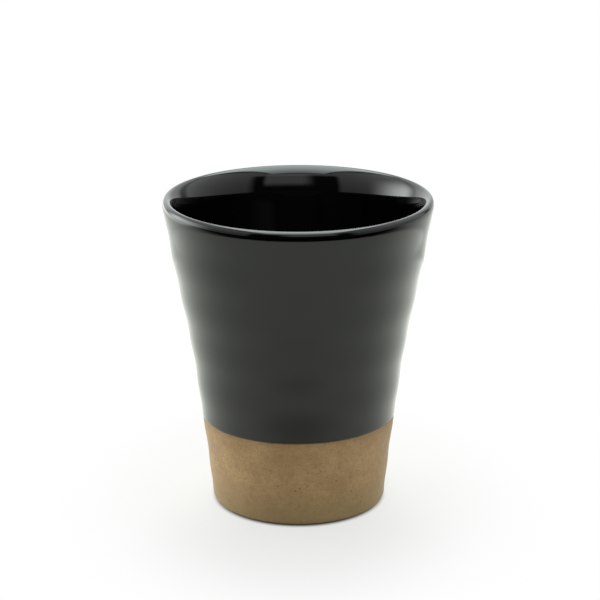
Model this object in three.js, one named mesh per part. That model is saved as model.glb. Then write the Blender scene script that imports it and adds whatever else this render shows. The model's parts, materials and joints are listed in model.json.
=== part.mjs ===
import * as THREE from 'three';

// A handleless stoneware tumbler: a wheel-thrown clay cup, bare at the foot,
// with a glaze coat poured inside and another dipped over the outside and the lip.
// Millimetres, +Z up. The origin is on the table, at the centre of the foot.

// Outside form, taken over the glaze
const height = 100; // table to the top of the lip
const rimRadius = 43.3; // line of the outer wall where it reaches the full height
const footRadius = 27.8; // line of the outer wall where it reaches the table
const wallBow = 1.6; // most that the wall draws in from a straight taper
const bowSkewShare = 0.87; // power on the height that puts the deepest bow just below the middle

// Broad swell that the potter's hand leaves below the rim, strongest at the top
const swellDepth = 0.34;
const swellSpacing = 53;
const swellHeight = 74.5; // height of the fullest part

// Throwing rings: faint level ridges round the outside
const ringDepth = 0.1;
const ringPitch = 14;
const lowestRingHeight = 11.4;

// Clay wall and floor
const wallAtLip = 4.1;
const wallAtFloor = 5.4;
const floorThickness = 5;
const floorCornerRadius = 9; // inside, where the wall turns into the floor

// Lip: rounded over a little outside, and opened out in a long soft curve inside
const lipEdgeDepth = 2.4; // from the top of the clay down to where the outside rounds over
const lipFlareDepth = 7.7; // from the top of the clay down to where the inside opens out
const lipCrestShare = 0.65; // where the highest line lies across the wall, from its inside

// Trimmed foot
const footRingWidth = 5.5;
const footRecessDepth = 1.6;
const footRecessDraft = 0.6; // how far the side of the recess leans in
const footEdgeWidth = 2.4; // of the rounded edge outside
const footEdgeHeight = 3.3;
const footInnerEdgeRadius = 0.8;

// Glaze
const glazeThickness = 0.3;
const dipLineHeight = 29.1; // where the outside coat stops above the bare clay
const coatReachBelowFlare = 3; // inside, where the two coats meet below the lip's curve

// Fineness of the surfaces
const sidesRound = 48;
const stepsPerRing = 4;
const innerWallSteps = 6;
const lipEdgeSteps = 4;
const lipFlareSteps = 6;
const cornerSteps = 4;
const footEdgeSteps = 4;
const edgeSteps = 3;

const quarterTurn = Math.PI / 2;
const halfTurn = Math.PI;
const fullTurn = 2 * Math.PI;

// Values

// Evenly spaced values from one end to the other, both ends included.
function spread(from, to, steps) {
  return Array.from({ length: steps + 1 }, (_, i) => from + ((to - from) * i) / steps);
}

// Steps that keep about the same spacing along the wall as on one throwing ring.
function wallSteps(from, to) {
  return Math.max(1, Math.round(((to - from) / ringPitch) * stepsPerRing));
}

// A wave that is one at the given crest height and repeats every spacing.
function wave(z, crestHeight, spacing) {
  return Math.cos((fullTurn * (z - crestHeight)) / spacing);
}

// Outline of the clay

// Radius of the clay's outer face without the throwing rings: a taper, its bow and the swell.
function wallLine(z) {
  const share = z / height;
  const bowShare = Math.pow(share, bowSkewShare);
  const taper = footRadius + (rimRadius - glazeThickness - footRadius) * share;
  const bow = 4 * wallBow * bowShare * (1 - bowShare);
  return taper - bow + swellDepth * share * wave(z, swellHeight, swellSpacing);
}

function outerRadius(z) {
  return wallLine(z) + ringDepth * wave(z, lowestRingHeight, ringPitch);
}

// The wall is even near the top and thickens towards the floor. Its inside is ribbed smooth.
function innerRadius(z) {
  const depthShare = (height - z) / (height - floorHeight);
  return wallLine(z) - wallAtLip - (wallAtFloor - wallAtLip) * depthShare * depthShare;
}

// Angle by which a wall leans outwards from the vertical at a height.
function lean(radiusAt, z) {
  return Math.atan2(radiusAt(z + glazeThickness) - radiusAt(z), glazeThickness);
}

const floorHeight = footRecessDepth + floorThickness;
const clayTop = height - glazeThickness;
const flareHeight = clayTop - lipFlareDepth;
const coatMeetingHeight = flareHeight - coatReachBelowFlare;

// Points on an arc, both ends included.
function arc(centre, radius, fromAngle, toAngle, steps) {
  return spread(fromAngle, toAngle, steps).map(
    (angle) =>
      new THREE.Vector2(
        centre.x + radius * Math.cos(angle),
        centre.y + radius * Math.sin(angle),
      ),
  );
}

// Centre of an arc that touches a leaning wall from its inner side, at the given centre height.
function touchingCentre(radiusAt, centreHeight, radius) {
  const tilt = lean(radiusAt, centreHeight);
  const touchHeight = centreHeight - radius * Math.sin(tilt);
  const centreRadius = radiusAt(touchHeight) - radius * Math.cos(tilt);
  return { centre: new THREE.Vector2(centreRadius, centreHeight), tilt, touchHeight };
}

function wallPoints(radiusAt, heights) {
  return heights.map((z) => new THREE.Vector2(radiusAt(z), z));
}

// Quarter of an oval that leaves a wall at one height and turns level at another.
function ovalEdge(radiusAt, wallHeight, level, steps) {
  const reach = level.x - radiusAt(level.y);
  return spread(0, quarterTurn, steps).map((angle) => {
    const z = wallHeight + (level.y - wallHeight) * Math.sin(angle);
    return new THREE.Vector2(radiusAt(z) + reach * (1 - Math.cos(angle)), z);
  });
}

const footRestEdge = new THREE.Vector2(outerRadius(0) - footEdgeWidth, 0);
const lipCrest = new THREE.Vector2(innerRadius(clayTop) + wallAtLip * lipCrestShare, clayTop);
const corner = touchingCentre(innerRadius, floorHeight + floorCornerRadius, floorCornerRadius);

// Underside and bare foot, from the axis out to just below the dip line.
function footOutline() {
  const recessRadius = footRadius - footRingWidth;
  const innerEdge = new THREE.Vector2(recessRadius + footInnerEdgeRadius, footInnerEdgeRadius);
  const bareSteps = wallSteps(footEdgeHeight, dipLineHeight);
  const bareHeights = spread(footEdgeHeight, dipLineHeight, bareSteps);
  return [
    new THREE.Vector2(0, footRecessDepth),
    new THREE.Vector2(recessRadius - footRecessDraft, footRecessDepth),
    ...arc(innerEdge, footInnerEdgeRadius, halfTurn, halfTurn + quarterTurn, edgeSteps),
    ...ovalEdge(outerRadius, footEdgeHeight, footRestEdge, footEdgeSteps).reverse(),
    ...wallPoints(outerRadius, bareHeights.slice(1, -1)),
  ];
}

// Face under the outside coat: from the dip line up the wall, over the lip and a little way down.
function outerCoatedFace() {
  const wallTop = clayTop - lipEdgeDepth;
  const heights = spread(dipLineHeight, wallTop, wallSteps(dipLineHeight, wallTop));
  return [
    ...wallPoints(outerRadius, heights.slice(0, -1)),
    ...ovalEdge(outerRadius, wallTop, lipCrest, lipEdgeSteps),
    ...ovalEdge(innerRadius, flareHeight, lipCrest, lipFlareSteps).reverse().slice(1),
    ...wallPoints(innerRadius, [coatMeetingHeight]),
  ];
}

// Face under the inside coat: from there down the wall, round the corner and to the axis.
function innerCoatedFace() {
  const heights = spread(coatMeetingHeight, corner.touchHeight, innerWallSteps);
  return [
    ...wallPoints(innerRadius, heights.slice(1, -1)),
    ...arc(corner.centre, floorCornerRadius, -corner.tilt, -quarterTurn, cornerSteps),
    new THREE.Vector2(0, floorHeight),
  ];
}

const underside = footOutline();
const outerFace = outerCoatedFace();
const innerFace = innerCoatedFace();

// Outline of the glaze

// Direction square to an outline at one of its points, to the left of its run.
// The nearer neighbour counts for more, as on a circle through the three points.
function squareTo(outline, i) {
  const lastPoint = outline.length - 1;
  const before = new THREE.Vector2().subVectors(outline[i], outline[Math.max(i - 1, 0)]);
  const after = new THREE.Vector2().subVectors(outline[Math.min(i + 1, lastPoint)], outline[i]);
  const beforeLength = before.length() || after.length();
  const afterLength = after.length() || before.length();
  const along = before
    .multiplyScalar(afterLength / beforeLength)
    .addScaledVector(after, beforeLength / afterLength);
  return new THREE.Vector2(-along.y, along.x).normalize();
}

// The coated clay face moved out by the glaze's thickness. It ends on the axis.
function glazeSurface(face) {
  return face.map((point, i) => {
    const outwards = squareTo(face, i).negate();
    const moved = point.clone().addScaledVector(outwards, glazeThickness);
    return i === face.length - 1 ? new THREE.Vector2(0, point.y + glazeThickness) : moved;
  });
}

const coatedFace = [...outerFace, ...innerFace];
const surface = glazeSurface(coatedFace);
const meetingPoint = outerFace.length - 1; // both coats end here, just inside the lip

// Rounded edge of the outside coat where the dip stopped, from the clay out to full thickness.
function dipEdge() {
  const start = outerFace[0];
  const along = new THREE.Vector2().subVectors(outerFace[1], start).normalize();
  const outwards = squareTo(outerFace, 0).negate();
  return spread(0, quarterTurn, edgeSteps).map((angle) =>
    start
      .clone()
      .addScaledVector(along, glazeThickness * (1 - Math.cos(angle)))
      .addScaledVector(outwards, glazeThickness * Math.sin(angle)),
  );
}

// Solids

// Turns an outline of radius and height into a solid round the Z axis.
function turned(name, outline, material) {
  const geometry = new THREE.LatheGeometry(outline, sidesRound);
  geometry.rotateX(quarterTurn);
  const mesh = new THREE.Mesh(geometry, material);
  mesh.name = name;
  return mesh;
}

function stonewareBody() {
  const bareClay = new THREE.MeshStandardMaterial({
    color: 0x9c8060,
    roughness: 0.9,
    metalness: 0,
  });
  return turned('stoneware_body', [...underside, ...outerFace, ...innerFace], bareClay);
}

function blackGlaze() {
  return new THREE.MeshStandardMaterial({ color: 0x0b0b0c, roughness: 0.06, metalness: 0 });
}

// The outside coat: up the clay's face to the meeting point and back along its own surface.
function outerGlaze() {
  const underFace = coatedFace.slice(0, meetingPoint + 1);
  const overFace = surface.slice(1, meetingPoint + 1).reverse();
  const outline = [...underFace, ...overFace, ...dipEdge().reverse()];
  return turned('outer_glaze', outline.reverse(), blackGlaze());
}

// The inside coat: from the axis up the clay's face to the meeting point and back to the axis.
function linerGlaze() {
  const underFace = coatedFace.slice(meetingPoint);
  const overFace = surface.slice(meetingPoint);
  return turned('liner_glaze', [...underFace.reverse(), ...overFace], blackGlaze());
}

const group = new THREE.Group();
group.add(stonewareBody(), outerGlaze(), linerGlaze());

export default group;
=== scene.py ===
# %% [markdown]
# # A wheel-thrown stoneware tumbler, glazed black over bare clay
#
# The cup in this lesson is made as a potter makes it: one body of clay, one coat of glaze
# poured inside, and one coat that it is dipped into upside down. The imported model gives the
# real sizes, and Blender adds what a hand and a kiln leave: the soft edge of the glaze, the
# grain of the bare clay and the gloss.

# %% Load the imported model
import json
import math

import bmesh
import bpy
import numpy as np
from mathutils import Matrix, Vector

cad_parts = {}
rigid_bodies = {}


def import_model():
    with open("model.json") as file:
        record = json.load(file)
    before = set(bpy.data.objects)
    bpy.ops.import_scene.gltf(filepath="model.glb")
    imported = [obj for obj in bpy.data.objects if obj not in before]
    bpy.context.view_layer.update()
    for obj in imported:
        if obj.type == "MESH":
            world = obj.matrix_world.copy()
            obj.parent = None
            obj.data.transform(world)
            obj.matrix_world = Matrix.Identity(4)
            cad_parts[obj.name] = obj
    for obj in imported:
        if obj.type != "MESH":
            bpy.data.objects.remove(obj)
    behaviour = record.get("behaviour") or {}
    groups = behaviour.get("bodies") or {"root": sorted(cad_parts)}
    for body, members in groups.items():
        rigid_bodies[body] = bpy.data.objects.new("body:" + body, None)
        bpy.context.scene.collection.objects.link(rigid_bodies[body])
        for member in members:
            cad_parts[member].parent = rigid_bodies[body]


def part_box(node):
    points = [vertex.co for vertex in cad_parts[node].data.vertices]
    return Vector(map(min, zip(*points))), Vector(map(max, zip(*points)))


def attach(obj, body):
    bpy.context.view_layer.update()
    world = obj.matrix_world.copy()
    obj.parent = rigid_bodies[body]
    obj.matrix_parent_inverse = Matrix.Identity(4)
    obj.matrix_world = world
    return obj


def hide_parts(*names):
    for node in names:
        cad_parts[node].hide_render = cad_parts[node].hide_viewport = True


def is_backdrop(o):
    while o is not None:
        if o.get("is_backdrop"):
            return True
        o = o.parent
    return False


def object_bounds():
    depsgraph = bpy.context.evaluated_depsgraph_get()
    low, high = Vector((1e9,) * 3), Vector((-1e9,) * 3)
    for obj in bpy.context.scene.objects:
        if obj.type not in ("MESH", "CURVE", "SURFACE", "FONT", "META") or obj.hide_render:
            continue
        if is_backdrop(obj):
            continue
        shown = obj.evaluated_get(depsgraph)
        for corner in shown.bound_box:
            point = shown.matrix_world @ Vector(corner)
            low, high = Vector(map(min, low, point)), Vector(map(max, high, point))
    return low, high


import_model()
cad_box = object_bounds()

print("CAD box, m:", [[round(value, 5) for value in corner] for corner in cad_box])

# %% [markdown]
# ## Sizes
#
# Blender works in metres, but a potter thinks in millimetres, so the outline is written in
# millimetres and one scale turns it to metres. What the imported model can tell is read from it:
# the height, where the dipped coat stops, and where the poured coat lies on the floor.

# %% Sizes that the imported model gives
MM = 0.001


def box_mm(node):
    """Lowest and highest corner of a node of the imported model, in millimetres."""
    low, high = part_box(node)
    return [value / MM for value in low], [value / MM for value in high]


body_low, body_high = box_mm("stoneware_body")
coat_low, coat_high = box_mm("outer_glaze")
liner_low = box_mm("liner_glaze")[0]

clay_top = body_high[2]
dip_height = coat_low[2]
floor_height = liner_low[2]
rim_reach = coat_high[0]
glaze_thickness = rim_reach - body_high[0]
cup_height = clay_top + glaze_thickness
print(f"cup {cup_height:.1f} mm high, {2 * rim_reach:.1f} mm wide, glaze {glaze_thickness:.2f} mm")

# %% [markdown]
# ## The camera
#
# The rims of the cup show as ellipses. How round each ellipse is gives the angle that it is
# seen at, and together they give the camera's height, distance and tilt. A long lens far away
# keeps the sides of the cup nearly straight, as in a catalogue picture.

# %% Camera
camera_data = bpy.data.cameras.new("camera")
camera = bpy.data.objects.new("camera", camera_data)
bpy.context.scene.collection.objects.link(camera)
bpy.context.scene.camera = camera

camera_distance = 623.9
camera_height = 263.15
camera_aside = 1.0
camera_pitch = math.radians(72.468)
camera_roll = math.radians(0.13)
camera_data.sensor_width = 36
camera_data.lens = 123.7
camera.location = (camera_aside * MM, -camera_distance * MM, camera_height * MM)
camera.rotation_euler = (camera_pitch, camera_roll, 0)
print("camera looks down by", round(90 - math.degrees(camera_pitch), 2), "degrees")

# %% [markdown]
# ## The outline of the wall
#
# A thrown wall is a taper that the potter's hands draw in at the middle and swell below the
# rim. Its fingers leave shallow rings. Each of these is one term of a formula, so each can be
# changed alone.

# %% Wall outline
rim_radius = 43.3
foot_radius = 27.8
wall_bow = 1.6
bow_skew = 0.87
swell_depth, swell_spacing, swell_height = 0.34, 53, 74.5
ring_depth, ring_pitch, lowest_ring = 0.1, 14, 11.4


def wave(z, crest, spacing):
    return np.cos(2 * math.pi * (z - crest) / spacing)


def wall_line(z):
    """Radius of the clay's outer face without its rings."""
    share = z / cup_height
    bow_share = np.power(share, bow_skew)
    taper = foot_radius + (rim_radius - glaze_thickness - foot_radius) * share
    bow = 4 * wall_bow * bow_share * (1 - bow_share)
    return taper - bow + swell_depth * share * wave(z, swell_height, swell_spacing)


def outer_radius(z):
    return wall_line(z) + ring_depth * wave(z, lowest_ring, ring_pitch)


wall_at_lip = 4.1
wall_at_floor = 5.4


def inner_radius(z):
    """Radius of the clay's inner face: even near the top, thicker towards the floor."""
    depth_share = (cup_height - z) / (cup_height - floor_height)
    return wall_line(z) - wall_at_lip - (wall_at_floor - wall_at_lip) * depth_share ** 2


lip_radius, foot_line_radius = outer_radius(clay_top), outer_radius(body_low[2])
print(f"clay radius {lip_radius:.2f} mm at the lip, {foot_line_radius:.2f} mm at the foot")

# %% Arcs that touch a leaning wall
slope_step = 0.01
fewest_steps = 2


def arc(centre, radius, start, end, steps):
    """Points on an arc round a centre, as pairs of radius and height."""
    angles = np.linspace(start, end, steps + 1)
    radii = centre[0] + radius * np.cos(angles)
    heights = centre[1] + radius * np.sin(angles)
    return np.column_stack((radii, heights))


def touching_centre(radius_at, centre_height, radius):
    """Centre of an arc inside a leaning wall, the wall's lean and the height where they touch."""
    rise = radius_at(centre_height + slope_step) - radius_at(centre_height)
    lean = math.atan2(rise, slope_step)
    touch = centre_height - radius * math.sin(lean)
    return (radius_at(touch) - radius * math.cos(lean), centre_height), lean, touch


def wall_points(radius_at, start, end, spacing):
    """Evenly spaced points along a wall."""
    steps = max(fewest_steps, round(abs(end - start) / spacing))
    heights = np.linspace(start, end, steps + 1)
    return np.column_stack((radius_at(heights), heights))


print("a wall 10 mm high has", len(wall_points(outer_radius, 0, 10, 1)), "points 1 mm apart")

# %% Lip
lip_edge_depth = 2.4
lip_flare_depth = 7.7
lip_crest_share = 0.65
coat_reach_below_flare = 3.0
lip_crest = (inner_radius(clay_top) + wall_at_lip * lip_crest_share, clay_top)
flare_height = clay_top - lip_flare_depth
meeting_height = flare_height - coat_reach_below_flare


def oval_edge(radius_at, wall_height, level, steps):
    """Quarter of an oval that leaves a wall at one height and turns level at another."""
    reach = level[0] - radius_at(level[1])
    angles = np.linspace(0, math.pi / 2, steps + 1)
    heights = wall_height + (level[1] - wall_height) * np.sin(angles)
    return np.column_stack((radius_at(heights) + reach * (1 - np.cos(angles)), heights))


print(f"the two coats meet {cup_height - meeting_height:.1f} mm below the lip")

# %% Outline of the whole clay body
foot_ring_width = 5.5
foot_recess_depth = 1.6
foot_recess_draft = 0.6
foot_edge_width = 1.8
foot_edge_height = 2.5
foot_inner_edge = 0.8
floor_corner = 9.0
point_spacing, close_spacing = 1.0, 0.5
arc_steps, lip_steps, flare_steps = 12, 24, 36

foot_rest_edge = (outer_radius(0) - foot_edge_width, 0)
corner_centre, corner_lean, corner_touch = touching_centre(
    inner_radius, floor_height + floor_corner, floor_corner
)
recess_radius = foot_radius - foot_ring_width


def foot_outline():
    """From the middle of the underside to the bare wall below the dip line."""
    inner_edge = (recess_radius + foot_inner_edge, foot_inner_edge)
    recess_edge = recess_radius - foot_recess_draft
    recess = np.column_stack(
        (np.linspace(0, recess_edge, arc_steps), np.full(arc_steps, foot_recess_depth))
    )
    return np.vstack((
        recess,
        arc(inner_edge, foot_inner_edge, math.pi, 1.5 * math.pi, arc_steps),
        oval_edge(outer_radius, foot_edge_height, foot_rest_edge, arc_steps)[::-1],
        wall_points(outer_radius, foot_edge_height, dip_height, point_spacing)[1:-1],
    ))


def coated_outline():
    """From the dip line up, over the lip and down the inside to the middle of the floor."""
    floor_radii = np.linspace(corner_centre[0], 0, arc_steps)
    return np.vstack((
        wall_points(outer_radius, dip_height, clay_top - lip_edge_depth, point_spacing)[:-1],
        oval_edge(outer_radius, clay_top - lip_edge_depth, lip_crest, lip_steps),
        oval_edge(inner_radius, flare_height, lip_crest, flare_steps)[::-1][1:],
        wall_points(inner_radius, flare_height, meeting_height, close_spacing)[1:],
        wall_points(inner_radius, meeting_height, corner_touch, point_spacing)[1:-1],
        arc(corner_centre, floor_corner, -corner_lean, -math.pi / 2, arc_steps),
        np.column_stack((floor_radii, np.full(arc_steps, floor_height)))[1:],
    ))


def square_to(outline):
    """Unit vectors square to an outline, pointing out of the clay."""
    reach = np.concatenate(([0], np.cumsum(np.linalg.norm(np.diff(outline, axis=0), axis=1))))
    along = np.gradient(outline, reach, axis=0)
    out = np.column_stack((along[:, 1], -along[:, 0]))
    return out / np.linalg.norm(out, axis=1)[:, None]


coated = coated_outline()
lip_index = int(np.argmax(coated[:, 1]))
print(len(coated), "points on the coated clay")

# %% [markdown]
# ## Turning an outline
#
# A potter's wheel turns the clay against the hand. The same idea makes the mesh: every point of
# the outline is carried round the axis. Building the rows by hand, and not with a Screw
# modifier, lets each row wander a little on its way round, as a hand-made rim does.

# %% Turn an outline into a mesh
steps_round = 120
sharp_angle = math.radians(40)
on_axis = 0.01
turn_angles = np.linspace(0, 2 * math.pi, steps_round, endpoint=False)


def turned(name, outline, closed=False, shift=None):
    """Carries an outline round the axis. shift gives each point's move in radius and height."""
    radii = np.repeat(outline[:, :1], steps_round, axis=1)
    heights = np.repeat(outline[:, 1:], steps_round, axis=1)
    if shift is not None:
        radii, heights = shift(radii, heights)
    made = bmesh.new()
    rows = []
    for row_radii, row_heights in zip(radii, heights):
        if max(abs(row_radii)) < on_axis:
            rows.append([made.verts.new((0, 0, row_heights[0] * MM))])
            continue
        rows.append([
            made.verts.new((r * math.sin(a) * MM, -r * math.cos(a) * MM, z * MM))
            for r, z, a in zip(row_radii, row_heights, turn_angles)
        ])
    pairs = list(zip(rows[:-1], rows[1:]))
    if closed:
        pairs.append((rows[-1], rows[0]))
    for lower, upper in pairs:
        for i in range(steps_round):
            k = (i + 1) % steps_round
            corners = [lower[i % len(lower)], lower[k % len(lower)],
                       upper[k % len(upper)], upper[i % len(upper)]]
            made.faces.new(list(dict.fromkeys(corners)))
    bmesh.ops.recalc_face_normals(made, faces=made.faces)
    for edge in made.edges:
        edge.smooth = edge.calc_face_angle(0) < sharp_angle
    mesh = bpy.data.meshes.new(name)
    made.to_mesh(mesh)
    made.free()
    for face in mesh.polygons:
        face.use_smooth = True
    piece = bpy.data.objects.new(name, mesh)
    bpy.context.scene.collection.objects.link(piece)
    return piece


print("each outline is turned in", steps_round, "steps")

# %% [markdown]
# ## The hand in it
#
# A potter holds the cup by its foot and dips it upside down, never quite level, and the glaze
# runs a little before it dries. So the line where the coat ends leans by a fraction of a
# millimetre and wanders in slow waves. The coat's lowest rows follow that line, and the waves
# fade out above it.

# %% Where the dip line runs
dip_tilt = 0.005
dip_rise = 0.12
# Each wave is how often it repeats round the cup, where it starts and its size in millimetres.
dip_waves = ((2, 0.7, 0.10), (5, 2.1, 0.06), (9, 0.4, 0.04))
dip_wave_reach = 6.0


def dip_offset(angles):
    """How far the dip line lies above its mean height, in millimetres, round the cup."""
    lean = dip_tilt * outer_radius(dip_height) * np.sin(angles)
    waves = sum(size * np.sin(count * angles + start) for count, start, size in dip_waves)
    return dip_rise + lean + waves


def follow_dip(radii, heights):
    """Moves the coat's lowest rows along the wall to the wandering dip line."""
    fade = np.clip(1 - (heights - dip_height) / dip_wave_reach, 0, 1) ** 2
    moved = heights + fade * dip_offset(turn_angles)[None, :]
    return radii + outer_radius(moved) - outer_radius(heights), moved


dip_range = dip_offset(turn_angles)
print(f"the dip line wanders from {dip_range.min():.2f} to {dip_range.max():.2f} mm")

# %% [markdown]
# ## The clay body
#
# The body is one thrown piece: wall, lip, floor and the foot ring that is trimmed once the clay
# is leather hard. It stands for the whole clay node, so the coats have real clay behind them.

# %% Clay body
clay = turned("clay_body", np.vstack((foot_outline(), coated)))
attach(clay, "root")
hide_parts("stoneware_body")
print("clay body:", len(clay.data.polygons), "faces")

# %% [markdown]
# ## The two coats of glaze
#
# Glaze is a skin of glass about a third of a millimetre thick. Each coat is a closed solid: the
# clay's own face on one side, and the same face moved out by the thickness on the other. The
# dipped coat ends below in a round bead, because melted glaze draws itself up at its edge. The
# two coats meet on the plain wall just inside the lip. This mesh is rounder than the packed
# one, so its skin is a hair thinner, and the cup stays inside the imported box.

# %% Glaze coats
box_clearance = 0.02
skin = glaze_thickness - box_clearance
coated_out = square_to(coated)
glaze_face = coated + skin * coated_out
glaze_face[-1, 0] = 0
meeting = lip_index + int(np.argmin(abs(coated[lip_index:, 1] - meeting_height)))
bead_steps = 7
bead_along = coated[1] - coated[0]
bead_along = bead_along / np.linalg.norm(bead_along)
bead = np.array([
    coated[0] + skin * ((1 - math.cos(a)) * bead_along + math.sin(a) * coated_out[0])
    for a in np.linspace(0, math.pi / 2, bead_steps)
])
outer_loop = np.vstack((bead, glaze_face[1:meeting + 1], coated[1:meeting + 1][::-1]))
coat = turned("dipped_glaze", outer_loop, closed=True, shift=follow_dip)
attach(coat, "root")
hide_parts("outer_glaze")

liner_loop = np.vstack((coated[meeting:][::-1], glaze_face[meeting:]))
liner = turned("poured_glaze", liner_loop)
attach(liner, "root")
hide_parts("liner_glaze")
print("dipped coat:", len(coat.data.polygons), "faces; poured coat:", len(liner.data.polygons))

# %% [markdown]
# ## Tools for materials
#
# A shader works in linear light, but colours are picked on a screen, so one function
# turns an sRGB hex code to linear values. Another adds a node with its settings and links.
# Finishes are built of layers: a base colour, and over it other colours, each let in softly
# where some value, such as a noise or the height, passes from one number to another. Lights and
# backdrops are built the same way, of soft steps multiplied together.

# %% Colours and nodes


def colour(code):
    """Turns an sRGB hex colour into the linear values that a shader works in."""
    shares = [int(code[i:i + 2], 16) / 255 for i in (1, 3, 5)]
    linear = [c / 12.92 if c <= 0.04045 else ((c + 0.055) / 1.055) ** 2.4 for c in shares]
    return (*linear, 1)


def add_node(tree, kind, inputs=None, **settings):
    """Adds a node with its settings, and sets its inputs or links them to sockets."""
    made = tree.nodes.new(kind)
    for name, value in settings.items():
        setattr(made, name, value)
    for name, value in (inputs or {}).items():
        if isinstance(value, bpy.types.NodeSocket):
            tree.links.new(value, made.inputs[name])
        else:
            made.inputs[name].default_value = value
    return made


def new_material(name):
    """A material with an empty node tree, and that tree."""
    made = bpy.data.materials.new(name)
    made.use_nodes = True
    made.node_tree.nodes.clear()
    return made, made.node_tree


white = colour("#FFFFFF")
print("white in linear light:", white)

# %% Layers and soft steps
STEP = ("Value", "From Min", "From Max", "To Min", "To Max")
# Socket numbers of a Mix node for colours: its factor, its two colours and its result.
FACTOR, FIRST, SECOND, MIXED = 0, 6, 7, 2


def layered(tree, base, layers):
    """Lays colours over a base. A layer is a value, where it starts, where it is full, how
    much of it there then is, and its colour."""
    result = base
    for value, start, full, most, code in layers:
        step = (value, start, full, 0, most)
        share = add_node(tree, "ShaderNodeMapRange", dict(zip(STEP, step)),
                         interpolation_type="SMOOTHSTEP")
        result = add_node(tree, "ShaderNodeMix", {
            FACTOR: share.outputs[0], FIRST: result, SECOND: colour(code),
        }, data_type="RGBA").outputs[MIXED]
    return result


def stepped(tree, level, steps):
    """Multiplies a level by soft steps. A step is a value, its two ends and the factor at each."""
    result = level
    for step in steps:
        factor = add_node(tree, "ShaderNodeMapRange", dict(zip(STEP, step)),
                          interpolation_type="SMOOTHSTEP")
        result = add_node(tree, "ShaderNodeMath", {0: result, 1: factor.outputs[0]},
                          operation="MULTIPLY").outputs[0]
    return result


def per_feature(size_mm):
    """Texture scale at which one feature of a pattern is about this many millimetres wide."""
    return 1 / (size_mm * MM)


print("a 1 mm pattern has scale", per_feature(1))

# %% [markdown]
# ## Black gloss glaze
#
# A tenmoku-like glaze: glass coloured black by iron, fired until it melted and ran level. It is
# nearly black in itself, and what the eye sees is what it mirrors: 4% of the light straight on
# and far more at a glancing angle, which an index of refraction of 1.5 gives. It isn't
# perfectly flat. The ripples here are about 7 mm long and a few thousandths of a millimetre
# deep. Where the coat thins out to nothing at the dip line, the iron shows brown.

# %% Black glaze
glaze_material, tree = new_material("black_gloss_glaze")
place = add_node(tree, "ShaderNodeTexCoord").outputs["Object"]
height_m = add_node(tree, "ShaderNodeSeparateXYZ", {0: place}).outputs["Z"]
thin_start, thin_full = 1.1, -0.3  # above the dip line, in millimetres
glaze_colour = layered(tree, colour("#030303"), [
    (height_m, (dip_height + thin_start) * MM, (dip_height + thin_full) * MM, 1, "#241A10"),
])
ripple_length, ripple_depth = 7.0, 0.006
haze_size, glossiest, haziest = 12.0, 0.03, 0.06
ripples = add_node(tree, "ShaderNodeTexNoise", {
    "Vector": place, "Scale": per_feature(ripple_length), "Detail": 1.0, "Roughness": 0.4,
})
uneven = add_node(tree, "ShaderNodeBump", {
    "Height": ripples.outputs[0], "Distance": ripple_depth * MM, "Strength": 1.0,
})
haze = add_node(tree, "ShaderNodeTexNoise", {
    "Vector": place, "Scale": per_feature(haze_size), "Detail": 2.0,
})
gloss_range = (haze.outputs[0], 0.3, 0.7, glossiest, haziest)
gloss = add_node(tree, "ShaderNodeMapRange", dict(zip(STEP, gloss_range)))
glaze_shader = add_node(tree, "ShaderNodeBsdfPrincipled", {
    "Base Color": glaze_colour, "Roughness": gloss.outputs[0], "IOR": 1.5,
    "Normal": uneven.outputs[0],
})
add_node(tree, "ShaderNodeOutputMaterial", {"Surface": glaze_shader.outputs["BSDF"]})
for piece in (coat, liner):
    piece.data.materials.append(glaze_material)
print("black glaze: ripples of", ripple_depth, "mm over", ripple_length, "mm")

# %% [markdown]
# ## Bare stoneware
#
# Buff stoneware, fired to about 1250 degrees: dry, fine and matte, because the clay has
# sintered but carries no glass. It is mottled by the fire, sand gives it a grain, the potter's
# rib and trimming tool leave faint level lines, and iron in the clay gives sparse dark specks
# and paler flecks. Towards the foot it is greyer, and the edge that it stands on is darkened with
# painted shade, for the shadow where the foot meets the board. At the glaze's edge the clay has
# drawn in some iron, in a thin brown line. Seen at a glancing angle, its powdery face shows a pale
# sheen. The real grain is about 0.3 mm and is drawn at 0.5 mm, so that it still shows in the
# picture.

# %% Bare stoneware: patterns
clay_material, tree = new_material("bare_stoneware")
place = add_node(tree, "ShaderNodeTexCoord").outputs["Object"]
height_m = add_node(tree, "ShaderNodeSeparateXYZ", {0: place}).outputs["Z"]
line_squeeze = (0.08, 0.08, 1.0)  # draws the noise out sideways into level lines
level_lines = add_node(tree, "ShaderNodeVectorMath", {0: place, 1: line_squeeze},
                       operation="MULTIPLY").outputs[0]
noise_roughness = 0.58
noises = {}
for name, vector, size_mm, detail in (
    ("mottling", place, 11.0, 3.0),
    ("clouding", place, 1.7, 3.0),
    ("grain", place, 0.5, 2.0),
    ("trimming", level_lines, 1.3, 2.0),
    ("ragged", place, 1.5, 3.0),
):
    noises[name] = add_node(tree, "ShaderNodeTexNoise", {
        "Vector": vector, "Scale": per_feature(size_mm), "Detail": detail,
        "Roughness": noise_roughness,
    }).outputs[0]
print("bare stoneware patterns:", ", ".join(noises))

# %% Bare stoneware: specks
speck_spacing, speck_size = 3.6, 0.45
fleck_spacing, fleck_size = 2.0, 0.4
speck_distance, fleck_distance = (
    add_node(tree, "ShaderNodeTexVoronoi", {"Vector": place, "Scale": per_feature(spacing)})
    .outputs["Distance"] for spacing in (speck_spacing, fleck_spacing)
)
speck_radius = speck_size / 2 / speck_spacing
fleck_radius = fleck_size / 2 / fleck_spacing
spot_outside, spot_inside = 1.5, 0.6  # shares of the radius that a spot fades between
print("dark specks", speck_size, "mm wide, paler flecks", fleck_size, "mm")

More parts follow.
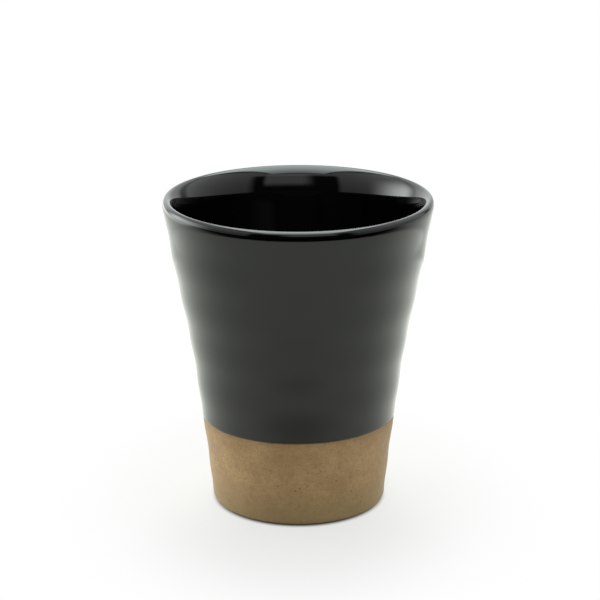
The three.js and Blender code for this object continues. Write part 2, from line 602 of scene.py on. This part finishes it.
# %% Bare stoneware: height below the dip line
along_dip = add_node(tree, "ShaderNodeVectorMath", {0: place, 1: (-dip_tilt, 0, 1)},
                     operation="DOT_PRODUCT").outputs["Value"]
wander = 0.3
wandering = add_node(tree, "ShaderNodeMath", {
    0: noises["ragged"], 1: wander * MM, 2: along_dip}, operation="MULTIPLY_ADD").outputs[0]
dip_at = (dip_height + dip_rise + wander / 2) * MM
print("the brown line wanders by up to", wander / 2, "mm")

# %% Bare stoneware: colour
grey_height = 16.0
stain_reach, brown_line = 2.5, 0.4
painted_foot_shade_start, painted_foot_shade_full = 1.3, 0.6
clay_colour = layered(tree, colour("#AB885F"), [
    (noises["mottling"], 0.3, 0.7, 1, "#BC9A6E"),
    (noises["clouding"], 0.4, 0.75, 0.32, "#866844"),
    (noises["grain"], 0.35, 0.75, 0.4, "#7A5D3B"),
    (noises["trimming"], 0.45, 0.8, 0.16, "#8A6F4C"),
    (height_m, grey_height * MM, 0, 0.6, "#8A7650"),
    (fleck_distance, fleck_radius * spot_outside, fleck_radius * spot_inside, 0.4, "#5C4228"),
    (speck_distance, speck_radius * spot_outside, speck_radius * spot_inside, 0.65, "#3E3020"),
    (wandering, dip_at - stain_reach * MM, dip_at, 0.2, "#6E4E2E"),
    (wandering, dip_at - brown_line * MM, dip_at, 0.8, "#3A2A1A"),
    # painted shade: the lowest edge, where the foot stands on the board, darkened for its contact
    # shadow
    (height_m, painted_foot_shade_start * MM, painted_foot_shade_full * MM, 0.85, "#2E2416"),
])
print("the clay turns greyer below", grey_height, "mm")

# %% Bare stoneware: surface
grain_depth, line_depth = 0.03, 0.03
lines_bump = add_node(tree, "ShaderNodeBump", {
    "Height": noises["trimming"], "Distance": line_depth * MM, "Strength": 1.0})
grain_bump = add_node(tree, "ShaderNodeBump", {
    "Height": noises["grain"], "Distance": grain_depth * MM, "Strength": 1.0,
    "Normal": lines_bump.outputs[0]})
clay_shader = add_node(tree, "ShaderNodeBsdfPrincipled", {
    "Base Color": clay_colour, "Roughness": 0.8, "IOR": 1.5, "Normal": grain_bump.outputs[0],
    "Sheen Weight": 0.2, "Sheen Roughness": 0.4,
})
add_node(tree, "ShaderNodeOutputMaterial", {"Surface": clay_shader.outputs["BSDF"]})
clay.data.materials.append(clay_material)
print("bare stoneware: grain", grain_depth, "mm deep, trimming lines", line_depth, "mm deep")

# %% [markdown]
# ## The board and the table
#
# Black gloss shows its surroundings, so they are built as a product photographer builds them: a
# round white board under the cup, inside a white tent whose front is open to a dark room. Past
# the board's edge is a darker table, with painted shade: darkest towards the open front, paler
# towards the back and the left. Just before the cup the board's colour is darkened, a painted
# shadow. For the camera it fades to plain white, by the Is Camera Ray switch, so no extra light
# is needed, and near the foot it keeps the cup's shadow, which is darkest just where the foot
# meets the board. There the board is also painted brown, a painted shade that stands for that
# shadow and for light bounced from the clay. What the glaze mirrors is the board with a painted
# glow, an emission that is no lamp: stronger towards the back, where it also lights the clay,
# and for glossy rays alone a brighter patch at the left back, a painted reflection.

# %% Board and table: places
board_middle, board_radius, board_edge = 22.0, 224.0, 10.0
shade_middle, shade_inner, shade_outer, shade_level = -45.0, 15.0, 62.0, 0.6
white_oval = (1.0, 0.75, 0.0)
white_start, white_full, white_at_foot = 20.0, 95.0, 0.68
contact_start, contact_end, white_at_contact, contact_painted_shade = 26.2, 28.6, 0.15, 0.7

floor_material, tree = new_material("white_board")
place = add_node(tree, "ShaderNodeNewGeometry").outputs["Position"]
axes = add_node(tree, "ShaderNodeSeparateXYZ", {0: place}).outputs
distances = {}
for name, middle in (("board", board_middle), ("shade", shade_middle)):
    distances[name] = add_node(tree, "ShaderNodeVectorMath", {0: place, 1: (0, middle * MM, 0)},
                               operation="DISTANCE").outputs["Value"]
oval = add_node(tree, "ShaderNodeVectorMath", {0: place, 1: white_oval}, operation="MULTIPLY")
from_cup = add_node(tree, "ShaderNodeVectorMath", {0: oval.outputs[0]}, operation="LENGTH")
from_axis = add_node(tree, "ShaderNodeVectorMath", {0: place}, operation="LENGTH")
print("board", 2 * board_radius, "mm wide")

# %% Board and table: colour
# The table's colour is painted shade and light: dark towards the open front, where the room is
# dark,
# and pale towards the back and the left, where the tent's light falls.
table_front, table_back = -260.0, 140.0
table_left, table_right, right_share = -100.0, 250.0, 0.5
painted_table_light = stepped(tree, 1.0, [
    (axes["Y"], table_front * MM, table_back * MM, 0, 1),
    (axes["X"], table_left * MM, table_right * MM, 1, right_share),
])
painted_table_shade = layered(tree, colour("#161616"), [(painted_table_light, 0, 1, 1, "#D8DAD4")])
edge_start, edge_end = (board_radius - board_edge) * MM, (board_radius + board_edge) * MM
edge_step = (distances["board"], edge_start, edge_end, 0, 1)
past_edge = add_node(tree, "ShaderNodeMapRange", dict(zip(STEP, edge_step)),
                     interpolation_type="SMOOTHSTEP")
shaded = layered(tree, colour("#F6F7F0"), [
    # painted shadow: the board's colour darkened just before the cup
    (distances["shade"], shade_outer * MM, shade_inner * MM, 1 - shade_level, "#40382E"),
    # painted shade: brown where the foot meets the board, for its shadow and light bounced from
    # the clay
    (from_axis.outputs["Value"], contact_end * MM, contact_start * MM, contact_painted_shade, "#8A6640"),
])
sheet_colour = add_node(tree, "ShaderNodeMix", {
    FACTOR: past_edge.outputs[0], FIRST: shaded, SECOND: painted_table_shade,
}, data_type="RGBA").outputs[MIXED]
matte = add_node(tree, "ShaderNodeBsdfDiffuse", {"Color": sheet_colour})
print("the table is palest", table_back, "mm behind the cup")

# %% Board and table: glow towards the back, and white for the camera
# Painted light: the board glows with an emission, though it is no lamp, more towards the back, and
# for glossy rays alone a brighter patch at the left back is a painted reflection.
back_glow, soft_share = 0.8, 0.6
glow_front, glow_back = -120.0, 160.0
window_level, window_right, window_left, window_front = 1.8, -190.0, -420.0, 20.0
rays = add_node(tree, "ShaderNodeLightPath").outputs
glow_behind = stepped(tree, back_glow, [
    (axes["Y"], glow_front * MM, glow_back * MM, 0, 1),
    (rays["Is Glossy Ray"], 0, 1, soft_share, 1),
    (rays["Is Camera Ray"], 0, 1, 1, 0),
])
painted_window_glow = stepped(tree, window_level, [
    (axes["X"], window_right * MM, window_left * MM, 0, 1),
    (axes["Y"], window_front * MM, glow_back * MM, 0, 1),
    (rays["Is Glossy Ray"], 0, 1, 0, 1),
])
glow_level = add_node(tree, "ShaderNodeMath", {0: glow_behind, 1: painted_window_glow},
                      operation="ADD").outputs[0]
painted_glow = add_node(tree, "ShaderNodeEmission", {
    "Color": colour("#F8FAF4"), "Strength": glow_level})
# lit is the board's matte light plus its painted glow.
lit = add_node(tree, "ShaderNodeAddShader", {0: matte.outputs[0], 1: painted_glow.outputs[0]})
plain_white = add_node(tree, "ShaderNodeEmission", {"Color": white, "Strength": 1.0})
white_share = stepped(tree, 1.0, [
    (from_cup.outputs["Value"], white_start * MM, white_full * MM, white_at_foot, 1),
    (from_axis.outputs["Value"], contact_start * MM, contact_end * MM, white_at_contact, 1),
    (rays["Is Camera Ray"], 0, 1, 0, 1),
])
mixed = add_node(tree, "ShaderNodeMixShader", {
    0: white_share, 1: lit.outputs[0], 2: plain_white.outputs[0]})
add_node(tree, "ShaderNodeOutputMaterial", {"Surface": mixed.outputs[0]})
print("plain white beyond", white_full, "mm to the side")


# %% Floor
def card(name, corners, material):
    """A flat four-cornered piece of the studio, which isn't part of the cup."""
    mesh = bpy.data.meshes.new(name)
    mesh.from_pydata([[value * MM for value in corner] for corner in corners], [], [(0, 1, 2, 3)])
    made = bpy.data.objects.new(name, mesh)
    bpy.context.scene.collection.objects.link(made)
    mesh.materials.append(material)
    made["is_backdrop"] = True
    return made


floor_reach = 1500
card("floor", [
    (-floor_reach, -floor_reach, 0), (floor_reach, -floor_reach, 0),
    (floor_reach, floor_reach, 0), (-floor_reach, floor_reach, 0),
], floor_material)
print("floor", 2 * floor_reach, "mm wide")

# %% [markdown]
# ## The lamp over the cup
#
# One large soft lamp hangs above the tent. It lights the cup at a plain level. A camera
# squeezes what is much brighter than white, so the lamp's mirror image looks brighter in a
# photograph than its light on the clay would make it. Here a second face in the same place,
# seen by glossy rays alone, gives the glaze that bright image, softer towards its edges.

# %% Overhead lamp
lamp_height = 500.0
lamp_left, lamp_right = -235.0, 235.0
lamp_front, lamp_back = -330.0, 430.0
lamp_level = 0.85
lamp_data = bpy.data.lights.new("overhead_lamp", "AREA")
lamp_data.shape = "RECTANGLE"
lamp_data.size = (lamp_right - lamp_left) * MM
lamp_data.size_y = (lamp_back - lamp_front) * MM
lamp_data.energy = lamp_level * math.pi * lamp_data.size * lamp_data.size_y
lamp_data.color = colour("#FAFFFD")[:3]
lamp = bpy.data.objects.new("overhead_lamp", lamp_data)
lamp_middle = ((lamp_left + lamp_right) / 2, (lamp_front + lamp_back) / 2, lamp_height)
lamp.location = [value * MM for value in lamp_middle]
lamp.visible_camera = False
lamp.visible_glossy = False
bpy.context.scene.collection.objects.link(lamp)
print(f"lamp {lamp_data.size:.2f} by {lamp_data.size_y:.2f} m, level {lamp_level}")

# %% The lamp's image in the gloss
image_level, soft_edge, back_edge = 7.0, 60.0, 120.0
front_share, back_share = 0.45, 0.3
image_drop = 1.0
image_material, tree = new_material("lamp_image")
place = add_node(tree, "ShaderNodeNewGeometry").outputs["Position"]
axes = add_node(tree, "ShaderNodeSeparateXYZ", {0: place}).outputs
depth = add_node(tree, "ShaderNodeLightPath").outputs["Glossy Depth"]
brightness = stepped(tree, 1.0, [
    (axes["X"], lamp_left * MM, (lamp_left + soft_edge) * MM, 0, 1),
    (axes["X"], lamp_right * MM, (lamp_right - soft_edge) * MM, 0, 1),
    (axes["Y"], lamp_front * MM, 0, front_share, 1),
    (axes["Y"], lamp_back * MM, (lamp_back - back_edge) * MM, back_share, 1),
    (depth, 1, 2, image_level, lamp_level),
])
shine = add_node(tree, "ShaderNodeEmission", {
    "Color": colour("#F0FDFB"), "Strength": brightness})
add_node(tree, "ShaderNodeOutputMaterial", {"Surface": shine.outputs[0]})
image_height = lamp_height - image_drop
lamp_image = card("lamp_image", [
    (lamp_left, lamp_front, image_height), (lamp_left, lamp_back, image_height),
    (lamp_right, lamp_back, image_height), (lamp_right, lamp_front, image_height),
], image_material)
for ray in ("camera", "diffuse", "shadow", "transmission", "volume_scatter"):
    setattr(lamp_image, "visible_" + ray, False)
print("the lamp's image has level", image_level)

# %% [markdown]
# ## The tent
#
# The tent's walls are far away beside a cup, so the world stands for them: a level for each
# direction. The walls are pale, paler at the back and high up, darker in the folds of the two
# back corners, with a brighter patch on the left where a window lights the cloth. The front is
# open, and the room beyond is dark, with a pale strip of cloth hanging into the opening from
# above. Light that has been mirrored twice inside the cup is held back, as a camera's dark
# tones do.

# %% Tent: directions
world = bpy.data.worlds.new("tent_walls")
bpy.context.scene.world = world
world.use_nodes = True
tree = world.node_tree
tree.nodes.clear()
way = add_node(tree, "ShaderNodeTexCoord").outputs["Generated"]
axes = add_node(tree, "ShaderNodeSeparateXYZ", {0: way}).outputs
forward = add_node(tree, "ShaderNodeMath", {0: 0.0, 1: axes["Y"]},
                   operation="SUBTRACT").outputs[0]
turn = add_node(tree, "ShaderNodeMath", {0: axes["X"], 1: forward},
                operation="ARCTAN2").outputs[0]
rise = add_node(tree, "ShaderNodeMath", {0: axes["Z"]}, operation="ARCSINE").outputs[0]
rays = add_node(tree, "ShaderNodeLightPath").outputs


def angle_step(value, start, end, low=0, high=1):
    """A soft step on a turn or a rise, with its two ends in degrees."""
    return value, math.radians(start), math.radians(end), low, high


def patch(level, turn_edges, rise_edges):
    """A soft-edged patch of the tent. Each edge is its angle in degrees and half its softness."""
    steps = []
    for value, (low, low_soft), (high, high_soft) in ((turn, *turn_edges), (rise, *rise_edges)):
        steps.append(angle_step(value, low - low_soft, low + low_soft))
        steps.append(angle_step(value, high + high_soft, high - high_soft))
    return stepped(tree, level, steps)


print("the open front is at turn 0, and turns to the right are plus")

# %% Tent: the walls and their open front
back_level, front_level = 1.7, 0.85
foot_level, head_level = 0.5, 1.1
opening = patch(0.95, ((-42, 3.5), (48, 6)), ((-60, 3), (37, 3.5)))
closed = add_node(tree, "ShaderNodeMath", {0: 1.0, 1: opening}, operation="SUBTRACT").outputs[0]
walls = stepped(tree, closed, [
    (forward, -1.0, 0.75, back_level, front_level),
    angle_step(rise, -4, 48, foot_level, head_level),
])
print("walls: level", back_level, "at the back,", front_level, "at the front")

# %% Tent: what else its cloth shows
low_back = stepped(tree, 0.6, [
    (axes["X"], 0.35, 0.1, 0, 1),
    (forward, -0.45, -0.85, 0, 1),
    angle_step(rise, 30, 12),
])
fold_rises = ((-10, 3), (58, 6))
right_fold = patch(-0.65, ((131, 5), (143, 5)), fold_rises)
left_fold = patch(-0.5, ((-141, 5), (-130, 5)), fold_rises)
window = patch(4.6, ((-130, 12), (-92, 20)), ((-4, 3), (23, 14)))
strip = patch(0.85, ((-11, 8), (34, 3)), ((10, 3), (40, 4)))
faded_strip = stepped(tree, strip, [angle_step(rise, 12, 23)])
tent = walls
for part in (low_back, right_fold, left_fold, window, faded_strip):
    tent = add_node(tree, "ShaderNodeMath", {0: tent, 1: part}, operation="ADD").outputs[0]
print("cloth: a paler low back, two darker folds, a lit window side and a strip")

# %% Tent: the dark above it, and plain white for the camera
above_level, twice_mirrored = 0.1, 0.35
tent = stepped(tree, tent, [
    angle_step(rise, 48, 62, 1, above_level),
    (rays["Glossy Depth"], 1, 2, 1, twice_mirrored),
])
tint = layered(tree, colour("#F8FDFA"), [(rays["Is Camera Ray"], 0, 1, 1, "#FFFFFF")])
strength = add_node(tree, "ShaderNodeMix", {
    "Factor": rays["Is Camera Ray"], "A": tent, "B": 1.0}).outputs["Result"]
background = add_node(tree, "ShaderNodeBackground", {"Color": tint, "Strength": strength})
add_node(tree, "ShaderNodeOutputWorld", {"Surface": background.outputs[0]})
bpy.context.scene.view_settings.view_transform = "Standard"
print("the tent's level for light mirrored twice is", twice_mirrored, "of the rest")

# %% [markdown]
# ## Sizes, and the end
#
# The finished cup must fill the imported model's box and not pass it, so the finished cup's box is
# measured, and its gaps from the imported box are printed.

# %% Measure the finished cup's box and print its gaps from the packed box
visual_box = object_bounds()
gaps = [[round((v - c) / MM, 3) for v, c in zip(*pair)] for pair in zip(visual_box, cad_box)]
print("finished cup's box less the packed box, mm:", gaps)
